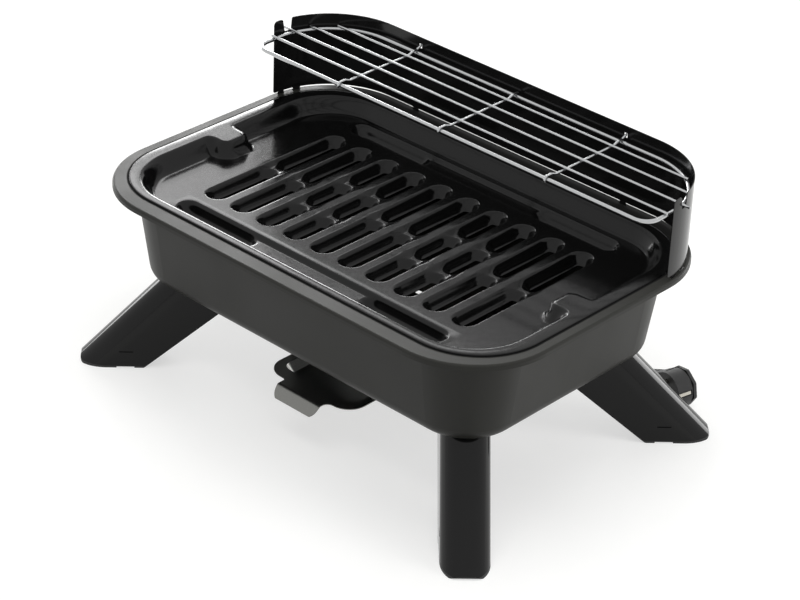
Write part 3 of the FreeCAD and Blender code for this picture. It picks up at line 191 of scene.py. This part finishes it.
def spread(tree, value, low, high, start=0.0, end=1.0):
    """Straight line that takes a value from start to end onto low to high."""
    inputs = {"Value": value, "From Min": start, "From Max": end, "To Min": low, "To Max": high}
    return add_node(tree, "ShaderNodeMapRange", inputs).outputs[0]


def relief(tree, height, strength, depth, under=None):
    """Surface normal that a texture bumps, with a depth in mm, over another relief if one is given."""
    inputs = {"Height": height, "Strength": strength, "Distance": depth * MM}
    if under is not None:
        inputs["Normal"] = under
    return add_node(tree, "ShaderNodeBump", inputs).outputs[0]


def coat(tree, colour, roughness, normal=None, **others):
    """Ends a material with one principled shader. Other inputs have underscores for their spaces."""
    inputs = {"Base Color": colour, "Roughness": roughness}
    if normal is not None:
        inputs["Normal"] = normal
    inputs.update({name.replace("_", " "): value for name, value in others.items()})
    shader = add_node(tree, "ShaderNodeBsdfPrincipled", inputs)
    add_node(tree, "ShaderNodeOutputMaterial", {"Surface": shader.outputs[0]})


def show(finish, *names):
    """Gives CAD nodes a finish."""
    for name in names:
        for held in nodes[name].material_slots:
            held.material = finish


stove_black, tree, place = new_finish("satin_stove_paint")
peel = noise(tree, place, 1.6, 2.0)
cloud = noise(tree, place, 60.0, 4.0)
folded = add_node(tree, "ShaderNodeVectorMath", {0: place}, operation="ABSOLUTE").outputs[0]
past = add_node(tree, "ShaderNodeVectorMath", {0: folded, 1: SEAT_CENTRE}, operation="SUBTRACT").outputs[0]
corner = add_node(tree, "ShaderNodeVectorMath", {0: past, 1: (0.0, 0.0, 0.0)}, operation="MAXIMUM").outputs[0]
reach = add_node(tree, "ShaderNodeVectorMath", {0: corner}, operation="LENGTH").outputs["Value"]
# Painted shadow: a narrow band of the rim along the plate's edge, standing in for the shadow gap under the
# flange
seat_shadow = spread(tree, reach, 1.0, 0.0, *SEAT_SHADOW_FADE)
axes = add_node(tree, "ShaderNodeSeparateXYZ", {"Vector": place}).outputs
# Painted shade: the rim behind the plate, under the windshield, darkens towards the back
shelter_shade = spread(tree, axes["Y"], 0.0, SHELTER_SHADE_DEPTH, *SHELTER_SHADE_FADE)
on_rim = math_node(tree, "GREATER_THAN", axes["Z"], RIM_ABOVE)
shade_mask = math_node(tree, "MULTIPLY", math_node(tree, "MAXIMUM", seat_shadow, shelter_shade), on_rim)
clean = blend(tree, cloud, "#232320", "#2a2a27")
# Where the painted shade mask is set, the rim's colour goes near black and its roughness rises
tint = add_node(tree, "ShaderNodeMix", {"Factor": shade_mask, "A": clean, "B": linear("#050505")}, data_type="RGBA")
dull = spread(tree, cloud, 0.36, 0.46, *MIDDLE_NOISE)
dull = add_node(tree, "ShaderNodeMix", {"Factor": shade_mask, "A": dull, "B": SHADE_BAND_ROUGHNESS})
coat(tree, tint.outputs["Result"], dull.outputs[0], relief(tree, peel, 0.25, 0.1),
     IOR=1.5, Specular_IOR_Level=0.22)
show(stove_black, "basin")


# Legs and feet: hollow moulded legs in a hard phenolic black with a glossy face, screwed to the
# basin's floor at the four corners, each closed by a flat plastic insert.
phenolic, tree, place = new_finish("moulded_black_phenolic")
grain = noise(tree, place, 1.2, 2.0)
cloud = noise(tree, place, 25.0, 3.0)
coat(tree, blend(tree, cloud, "#0a0a0a", "#0e0e0e"), spread(tree, cloud, 0.07, 0.11, *MIDDLE_NOISE),
     relief(tree, grain, 0.15, 0.06), IOR=1.55, Specular_IOR_Level=0.2)
show(phenolic, "leg_front_left", "leg_front_right", "leg_rear_left", "leg_rear_right")

foot_plastic, tree, place = new_finish("black_polypropylene")
grain = noise(tree, place, 0.8, 2.0)
coat(tree, blend(tree, grain, "#121212", "#1a1a1a"), 0.5, relief(tree, grain, 0.3, 0.08), IOR=1.49)
show(foot_plastic, "foot_front_left", "foot_front_right", "foot_rear_left", "foot_rear_right")


# Fasteners, tray rails and the thermostat's shaft: zinc-plated steel, with the faint cloudy
# spangle of the plating.
def cells(tree, place, grain):
    """Distance to the nearest point of a scatter, with a grain size in mm."""
    inputs = {"Vector": place, "Scale": 1 / (grain * MM)}
    return add_node(tree, "ShaderNodeTexVoronoi", inputs).outputs["Distance"]


zinc, tree, place = new_finish("zinc_plated_steel")
spangle = cells(tree, place, 6.0)
coat(tree, blend(tree, spangle, "#9b9d9e", "#b9bbbb"), spread(tree, spangle, 0.30, 0.42),
     relief(tree, spangle, 0.1, 0.05), Metallic=1.0)
show(zinc, "leg_screws", "rail_rivets", "tray_rail_left", "tray_rail_right", "housing_screws",
     "thermostat_shaft")


# Drip tray and element supports: thin stainless steel. The tray is a shallow pressed dish on the
# two rails, with a bent grip tab at the front, and the rolling lines run along it.
LINE_WIDTH = 0.7
LINE_LENGTH = 60.0
tray_steel, tree, place = new_finish("rolled_stainless_steel")
drawn = add_node(tree, "ShaderNodeMapping", {
    "Vector": place, "Scale": (1 / (LINE_WIDTH * MM), 1 / (LINE_LENGTH * MM), 1 / (LINE_WIDTH * MM))})
lines = add_node(tree, "ShaderNodeTexNoise", {"Vector": drawn.outputs[0], "Scale": 1.0, "Detail": 3.0})
lines = lines.outputs["Fac"]
coat(tree, blend(tree, lines, "#717170", "#858580"), spread(tree, lines, 0.26, 0.42),
     relief(tree, lines, 0.12, 0.05), Metallic=1.0)
show(tray_steel, "drip_tray", "element_support_left", "element_support_right")


# Heating element: one bent tube of heat-proof steel, dull and browned where it has glowed.
element_steel, tree, place = new_finish("oxidised_heater_tube")
scale_marks = noise(tree, place, 4.0, 5.0)
coat(tree, blend(tree, scale_marks, "#34312d", "#5b5650"), spread(tree, scale_marks, 0.45, 0.65),
     relief(tree, scale_marks, 0.3, 0.1), Metallic=0.8)
show(element_steel, "heating_element")


# Grill plate: a pressed steel pan under black vitreous enamel, in mm. Ten rows of long troughs have
# open floors and low saddles, two gutters catch fat, and a tongue at each short side lifts it out.
FLANGE_TOP = 194.7
SHEET = 1.2
FIELD_DROP = 14.7
# Rounded rectangles: half X, half Y, corner
PAN_TOP = (226.0, 142.0, 60.0)
PAN_FIELD = (211.0, 131.0, 48.0)
FLANGE_RINGS = ((230.0, 144.7, 63.3), (236.6, 148.6, 68.6), (237.5, 149.5, 69.5), (237.9, 149.9, 69.9),
                (238.0, 150.0, 70.0))
EDGE_FALL = (0.12, 0.45, 0.9)
TONGUE_AT = (220.0, -8.0)
TONGUE = (19.0, 14.5, 8.0)
TONGUE_RUN = 6.0
# A trough's wall and the deeper wall of its pockets: depth, lip outside the outline, run of the wall
TROUGH_WALL = (3.2, 1.2, 6.0)
POCKET_WALL = (6.9, 2.0, 6.2)
POCKET_INSET = 3.0
POCKET_OVER = 1.0
POCKET_SLACK = 1.4
ROW_COUNT = 10
ROW_PITCH = 34.3
ROW_MIDDLE = (ROW_COUNT - 1) / 2
ROW_HALF = (88.0, 12.0)
ROW_POCKETS = (((-85.0, -5.0), (5.0, 85.0)), ((-85.0, -34.0), (-24.0, 24.0), (34.0, 85.0)))
CELL_END = 96.667
ROW_CELLS = (((-CELL_END, 0.0), (0.0, CELL_END)),
             ((-CELL_END, -29.0), (-29.0, 29.0), (29.0, CELL_END)))
GUTTER_Y = 114.0
GUTTER_HALF = (165.0, 11.0)
GUTTER_POCKETS = ((-162.0, -70.0), (70.0, 162.0))
# The mesh: a rectangle of cells and gutters, rings round each opening, and rings out to the edge.
# Cell borders meet point to point only where CELL_STEPS is a multiple of 10.
TINY = 1e-6
WELD_REACH = 2e-6
FIELD_SIDE = ROW_COUNT * ROW_PITCH / 2
FIELD_END = 128.0
CELL_STEPS = 40
ACROSS_STEPS = 12
GUTTER_STEPS = 12
WALL_STEPS = 13
POCKET_ROUND = 9.0
POCKET_RINGS = (4.5, 5.1, 5.8, 6.6, 7.4, 8.2, 9.0, 9.8, 10.6, 11.4, 12.2, 13.0, 13.7)
GUTTER_REACH = 154.0
GUTTER_RINGS = (0.0, 2.6, 4.6, 5.4, 6.2, 7.0, 7.8, 8.6, 9.3, 10.0, 10.7, 11.5, 12.2)
FIELD_RINGS = (0.0, 0.25, 0.42, 0.52, 0.6, 0.68, 0.76, 0.84, 0.92)


def ease(t):
    """Rises from 0 to 1 without a kink: three t squared less two t cubed, held flat outside."""
    t = np.clip(t, 0.0, 1.0)
    return t * t * (3 - 2 * t)


def stadium_gap(along, aside, half_length, half_width, slack=1.0):
    """Distance outside a stadium: distance to its middle line less its half-width, negative inside.
    A slack above 1 draws out the round ends by that factor."""
    over = np.maximum(np.abs(along) - (half_length - slack * half_width), 0.0) / slack
    return np.hypot(over, aside) - half_width


def rounded_gap(x, y, half_x, half_y, corner):
    """Distance outside a rounded rectangle, negative inside: from the corner's centre, less its radius."""
    qx = np.abs(x) - half_x + corner
    qy = np.abs(y) - half_y + corner
    inside = np.minimum(np.maximum(qx, qy), 0)
    return np.hypot(np.maximum(qx, 0), np.maximum(qy, 0)) + inside - corner


def eased_wall(gap, depth, lip, run):
    """Depth below the bars: eased from none at the lip to the full depth at the end of the run."""
    return depth * ease((lip - gap) / run)


def pressed_depth(along, aside, half_length, half_width, pockets):
    """Depth of one trough: an eased shallow wall all round, and an eased deeper wall round each pocket."""
    depth = eased_wall(stadium_gap(along, aside, half_length, half_width), *TROUGH_WALL)
    deeper = np.zeros_like(depth)
    for low, high in pockets:
        gap = stadium_gap(along - (low + high) / 2, aside, (high - low) / 2 + POCKET_OVER,
                          half_width - POCKET_INSET, POCKET_SLACK)
        deeper = np.maximum(deeper, eased_wall(gap, *POCKET_WALL))
    return depth + deeper


def plate_height(x, y):
    """Height of the plate's upper face: an eased pan wall, raised tongues, and the pressed troughs."""
    past_top = -rounded_gap(x, y, *PAN_TOP)
    past_field = rounded_gap(x, y, *PAN_FIELD)
    on_wall = past_top / np.maximum(past_top + past_field, TINY)
    fall = np.where(past_top <= 0, 0.0, np.where(past_field <= 0, 1.0, on_wall))
    tongue = rounded_gap(np.abs(x) - TONGUE_AT[0], y - TONGUE_AT[1], *TONGUE)
    height = -FIELD_DROP * ease(fall) * ease(tongue / TONGUE_RUN)
    row = np.clip(np.round(x / ROW_PITCH + ROW_MIDDLE), 0, ROW_COUNT - 1)
    aside = x - (row - ROW_MIDDLE) * ROW_PITCH
    for kind, pockets in enumerate(ROW_POCKETS):
        depth = pressed_depth(y, aside, *ROW_HALF, pockets)
        height = height - np.where((row // 2) % 2 == kind, depth, 0.0)
    height = height - pressed_depth(x, np.abs(y) - GUTTER_Y, *GUTTER_HALF, GUTTER_POCKETS)
    return FLANGE_TOP + height


def frame_loop(x_marks, y_marks):
    """Points round a rectangle: up its right side, back along the top, down the left, along the bottom."""
    right = np.stack([np.full(len(y_marks) - 1, x_marks[-1]), y_marks[:-1]], 1)
    top = np.stack([x_marks[:0:-1], np.full(len(x_marks) - 1, y_marks[-1])], 1)
    left = np.stack([np.full(len(y_marks) - 1, x_marks[0]), y_marks[:0:-1]], 1)
    bottom = np.stack([x_marks[:-1], np.full(len(x_marks) - 1, y_marks[0])], 1)
    return np.concatenate([right, top, left, bottom])


def stadium_loop(reach, radius, side_steps, end_steps):
    """Points round a stadium along Y, in a rectangle's order: side, end arc, side, end arc."""
    run = np.linspace(-reach, reach, side_steps + 1)[:-1]
    angle = np.linspace(0, np.pi, end_steps + 1)[:-1]
    right = np.stack([np.full(side_steps, radius), run], 1)
    top = np.stack([radius * np.cos(angle), reach + radius * np.sin(angle)], 1)
    return np.concatenate([right, top, -right, -top])


def lift(loops):
    """Sets rings of plan points on the plate's surface."""
    flat = np.stack(loops)
    return np.concatenate([flat, plate_height(flat[..., 0], flat[..., 1])[..., None]], 2)


def ring_faces(rings, count, start):
    """Quads between closed rings of points, counted from a starting point."""
    ring, spot = np.meshgrid(np.arange(rings - 1), np.arange(count), indexing="ij")
    after = (spot + 1) % count
    inner = ring * count
    outer = (ring + 1) * count
    quads = np.stack([inner + spot, outer + spot, outer + after, inner + after], -1)
    return quads.reshape(-1, 4) + start


patches = []
for row in range(ROW_COUNT):
    middle = (row - ROW_MIDDLE) * ROW_PITCH
    kind = (row // 2) % 2
    for (low, high), (cell_low, cell_high) in zip(ROW_POCKETS[kind], ROW_CELLS[kind]):
        steps = int(round((cell_high - cell_low) / CELL_END * CELL_STEPS))
        reach = (high - low) / 2 - POCKET_ROUND
        at = np.array([middle, (low + high) / 2])
        loops = [stadium_loop(reach, wide, steps, ACROSS_STEPS) + at for wide in POCKET_RINGS]
        cell_x = np.linspace(middle - ROW_PITCH / 2, middle + ROW_PITCH / 2, ACROSS_STEPS + 1)
        cell_y = np.linspace(cell_low, cell_high, steps + 1)
        loops.append(frame_loop(cell_x, cell_y))
        patches.append(lift(loops))

field_steps = ROW_COUNT * ACROSS_STEPS
field_x = np.linspace(-FIELD_SIDE, FIELD_SIDE, field_steps + 1)
for side in (-1, 1):
    at = np.array([0.0, side * GUTTER_Y])
    loops = []
    for width in GUTTER_RINGS:
        loop = stadium_loop(GUTTER_REACH, width, field_steps, GUTTER_STEPS)
        loop = np.stack([loop[:, 1], -loop[:, 0]], 1)
        loops.append(np.roll(loop, -field_steps, 0) + at)
    edges = np.sort([side * CELL_END, side * FIELD_END])
    loops.append(frame_loop(field_x, np.linspace(edges[0], edges[1], GUTTER_STEPS + 1)))
    patches.append(lift(loops))

field_y = np.concatenate([np.linspace(-FIELD_END, -CELL_END, GUTTER_STEPS + 1)[:-1],
                          np.linspace(-CELL_END, CELL_END, 2 * CELL_STEPS + 1),
                          np.linspace(CELL_END, FIELD_END, GUTTER_STEPS + 1)[1:]])
field_loop = frame_loop(field_x, field_y)
core_x = PAN_FIELD[0] - PAN_FIELD[2]
core_y = PAN_FIELD[1] - PAN_FIELD[2]
size = np.abs(field_loop)
way = np.sign(field_loop)
on_side = size[:, 0] > FIELD_SIDE - TINY
in_corner = np.where(on_side, size[:, 1] > core_y, size[:, 0] > core_x)
past = np.where(on_side, size[:, 1] - core_y, FIELD_END - core_y + FIELD_SIDE - size[:, 0])
bend = np.pi / 2 * past / (FIELD_END - core_y + FIELD_SIDE - core_x)
angle = np.where(in_corner, bend, np.where(on_side, 0.0, np.pi / 2))
core = np.where(in_corner[:, None], way, field_loop / np.array([core_x, core_y]))
core[:, 0] = np.where(in_corner | ~on_side, core[:, 0], way[:, 0])
core[:, 1] = np.where(in_corner | on_side, core[:, 1], way[:, 1])


def outline(half_x, half_y, corner):
    """Points round a rounded rectangle, matched one by one to the field's rectangle: straight sides
    keep their share of the side, and the rest turns evenly round the corners."""
    centre = np.array([half_x - corner, half_y - corner])
    return core * centre + corner * way * np.stack([np.cos(angle), np.sin(angle)], 1)


field_edge = outline(*PAN_FIELD)
loops = [field_loop + (field_edge - field_loop) * part for part in FIELD_RINGS]
for part in np.linspace(0.0, 1.0, WALL_STEPS):
    loops.append(outline(*(low + (high - low) * part for low, high in zip(PAN_FIELD, PAN_TOP))))
loops += [outline(*ring) for ring in FLANGE_RINGS]
rings = lift(loops)
rings[-len(EDGE_FALL):, :, 2] -= np.array(EDGE_FALL)[:, None]
patches.append(rings)

points = []
faces = []
start = 0
for patch in patches:
    rings, count = patch.shape[:2]
    faces.append(ring_faces(rings, count, start))
    points.append(patch.reshape(-1, 3))
    start += rings * count
mesh = bpy.data.meshes.new("enamel_grill_plate")
mesh.from_pydata((np.concatenate(points) * MM).tolist(), [], np.concatenate(faces).tolist())
shell = bmesh.new()
shell.from_mesh(mesh)
bmesh.ops.remove_doubles(shell, verts=shell.verts, dist=WELD_REACH)
bmesh.ops.dissolve_degenerate(shell, edges=shell.edges, dist=TINY)
shell.to_mesh(mesh)
shell.free()
mesh.shade_smooth()
plate = bpy.data.objects.new("enamel_grill_plate", mesh)
scene.collection.objects.link(plate)
thick = plate.modifiers.new("sheet", "SOLIDIFY")
thick.thickness = SHEET * MM
thick.offset = -1.0

enamel, tree, place = new_finish("black_vitreous_enamel")
wave = noise(tree, place, 16.0, 1.0)
peel = noise(tree, place, 2.2, 2.0)
waved = relief(tree, wave, 0.3, 0.3)
coat(tree, blend(tree, peel, "#050505", "#080808"), spread(tree, peel, 0.10, 0.16, *MIDDLE_NOISE),
     relief(tree, peel, 0.08, 0.1, waved), IOR=1.5, Specular_IOR_Level=0.26)
mesh.materials.append(enamel)
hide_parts("grill_plate")
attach(plate, "plate")


# Windshield: one strip of thin sheet steel bent round the rear half of the rim, in gloss black
# lacquer. Its foot tabs stand in slots of the rim.
shield_black, tree, place = new_finish("gloss_black_lacquer")
peel = noise(tree, place, 3.0, 2.0)
cloud = noise(tree, place, 50.0, 3.0)
coat(tree, blend(tree, cloud, "#141414", "#1a1a1a"), spread(tree, cloud, 0.10, 0.14, *MIDDLE_NOISE),
     relief(tree, peel, 0.08, 0.1), IOR=1.5, Specular_IOR_Level=0.3)
show(shield_black, "windshield")


# Warming rack: a loop of thicker wire with thin wires welded across, under bright chromium
# plate. One long wire lies in the windshield's notches, and hooked wire ends hold the back.
chrome, tree, place = new_finish("bright_chromium_plate")
drawn = noise(tree, place, 1.5, 3.0)
coat(tree, blend(tree, drawn, "#aeafb0", "#c0c1c2"), spread(tree, drawn, 0.10, 0.22),
     relief(tree, drawn, 0.1, 0.05), Metallic=1.0)
show(chrome, "rack_frame", "rack_long_wires", "rack_cross_wires")


# Control housing, knob and cord tie: moulded black plastic with a fine spark-eroded grain. Inside
# the housing are pale moulded electrical pieces, and a red lens shows in its face.
grained, tree, place = new_finish("grained_black_nylon")
grain = noise(tree, place, 0.7, 2.0)
coat(tree, blend(tree, grain, "#151515", "#1f1f1f"), spread(tree, grain, 0.42, 0.56),
     relief(tree, grain, 0.4, 0.1), IOR=1.53)
show(grained, "control_housing", "control_knob", "cord_tie")

urea, tree, place = new_finish("cream_urea_moulding")
cloud = noise(tree, place, 4.0, 3.0)
coat(tree, blend(tree, cloud, "#d8d0ba", "#e4ddc9"), 0.4, relief(tree, cloud, 0.1, 0.1), IOR=1.54)
show(urea, "thermostat", "terminal_block")

lens_red, tree, place = new_finish("clear_red_acrylic")
facets = cells(tree, place, 1.6)
coat(tree, blend(tree, facets, "#7d1410", "#b0231b"), 0.12, relief(tree, facets, 0.3, 0.2), IOR=1.49)
show(lens_red, "indicator_lens")


# Mains cord and plug: a 7 mm rubber lead from the strain relief, a coil put away behind the
# grill under a strap, and a short tail to an angled moulded plug with two round pins. In mm.
CORD_DIAMETER = 7.0
COIL_TURNS = 16 / 3
COIL_POINTS = 81
COIL_CENTRE = (14.8, 250.0)
COIL_INNER = 27.0
COIL_PITCH = 7.8
COIL_LOW = 4.9
COIL_RISE = 7.7
CLIMB_TURNS = 0.5
LEAD = [(-30.0, 149.0, 69.5), (-30.0, 149.0, 45.2), (-30.0, 163.75, 19.65), (-30.0, 189.3, 4.9),
        (-33.0, 216.15, 4.9), (-33.0, 243.0, 4.9)]
TAIL = [(44.85, 288.05, 12.6), (64.18, 277.55, 12.6), (82.0, 259.0, 7.4), (101.0, 237.0, 4.4),
        (119.0, 214.0, 4.2), (140.24, 193.77, 6.25), (161.21, 188.93, 10.83)]


def coil_route(turns):
    """Points of a coil in two layers: it winds in by one pitch a turn, climbs in its middle, winds out."""
    swing = np.pi - 2 * np.pi * turns
    past_middle = turns - COIL_TURNS / 2
    radius = COIL_INNER + COIL_PITCH * np.abs(past_middle)
    x = COIL_CENTRE[0] + radius * np.cos(swing)
    y = COIL_CENTRE[1] + radius * np.sin(swing)
    z = COIL_LOW + COIL_RISE * ease(past_middle / CLIMB_TURNS + 0.5)
    return np.stack([x, y, z], 1)


rubber, tree, place = new_finish("black_lead_rubber")
bloom = noise(tree, place, 5.0, 4.0)
grain = noise(tree, place, 0.8, 2.0)
coat(tree, blend(tree, bloom, "#1a1a1a", "#272727"), spread(tree, bloom, 0.42, 0.58),
     relief(tree, grain, 0.2, 0.1), IOR=1.5)
show(rubber, "cord_strain_relief", "plug_body", "inner_wires")

route = np.concatenate([LEAD, coil_route(np.linspace(0.0, COIL_TURNS, COIL_POINTS)), TAIL]) * MM
line = bpy.data.curves.new("mains_cord", "CURVE")
line.dimensions = "3D"
line.bevel_depth = CORD_DIAMETER / 2 * MM
line.bevel_resolution = 5
line.resolution_u = 6
spline = line.splines.new("NURBS")
spline.points.add(len(route) - 1)
spline.points.foreach_set("co", np.concatenate([route, np.ones((len(route), 1))], 1).ravel())
spline.order_u = 3
spline.use_endpoint_u = True
line.materials.append(rubber)
cord = bpy.data.objects.new("mains_cord", line)
scene.collection.objects.link(cord)
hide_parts("cord_lead", "cord_coil", "cord_tail")
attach(cord, "base")

pin_metal, tree, place = new_finish("nickel_plated_brass")
rubbed = noise(tree, place, 2.0, 3.0)
coat(tree, blend(tree, rubbed, "#b3afa5", "#cbc8bf"), spread(tree, rubbed, 0.2, 0.34), Metallic=1.0)
show(pin_metal, "plug_pins", "plug_earth_clips")
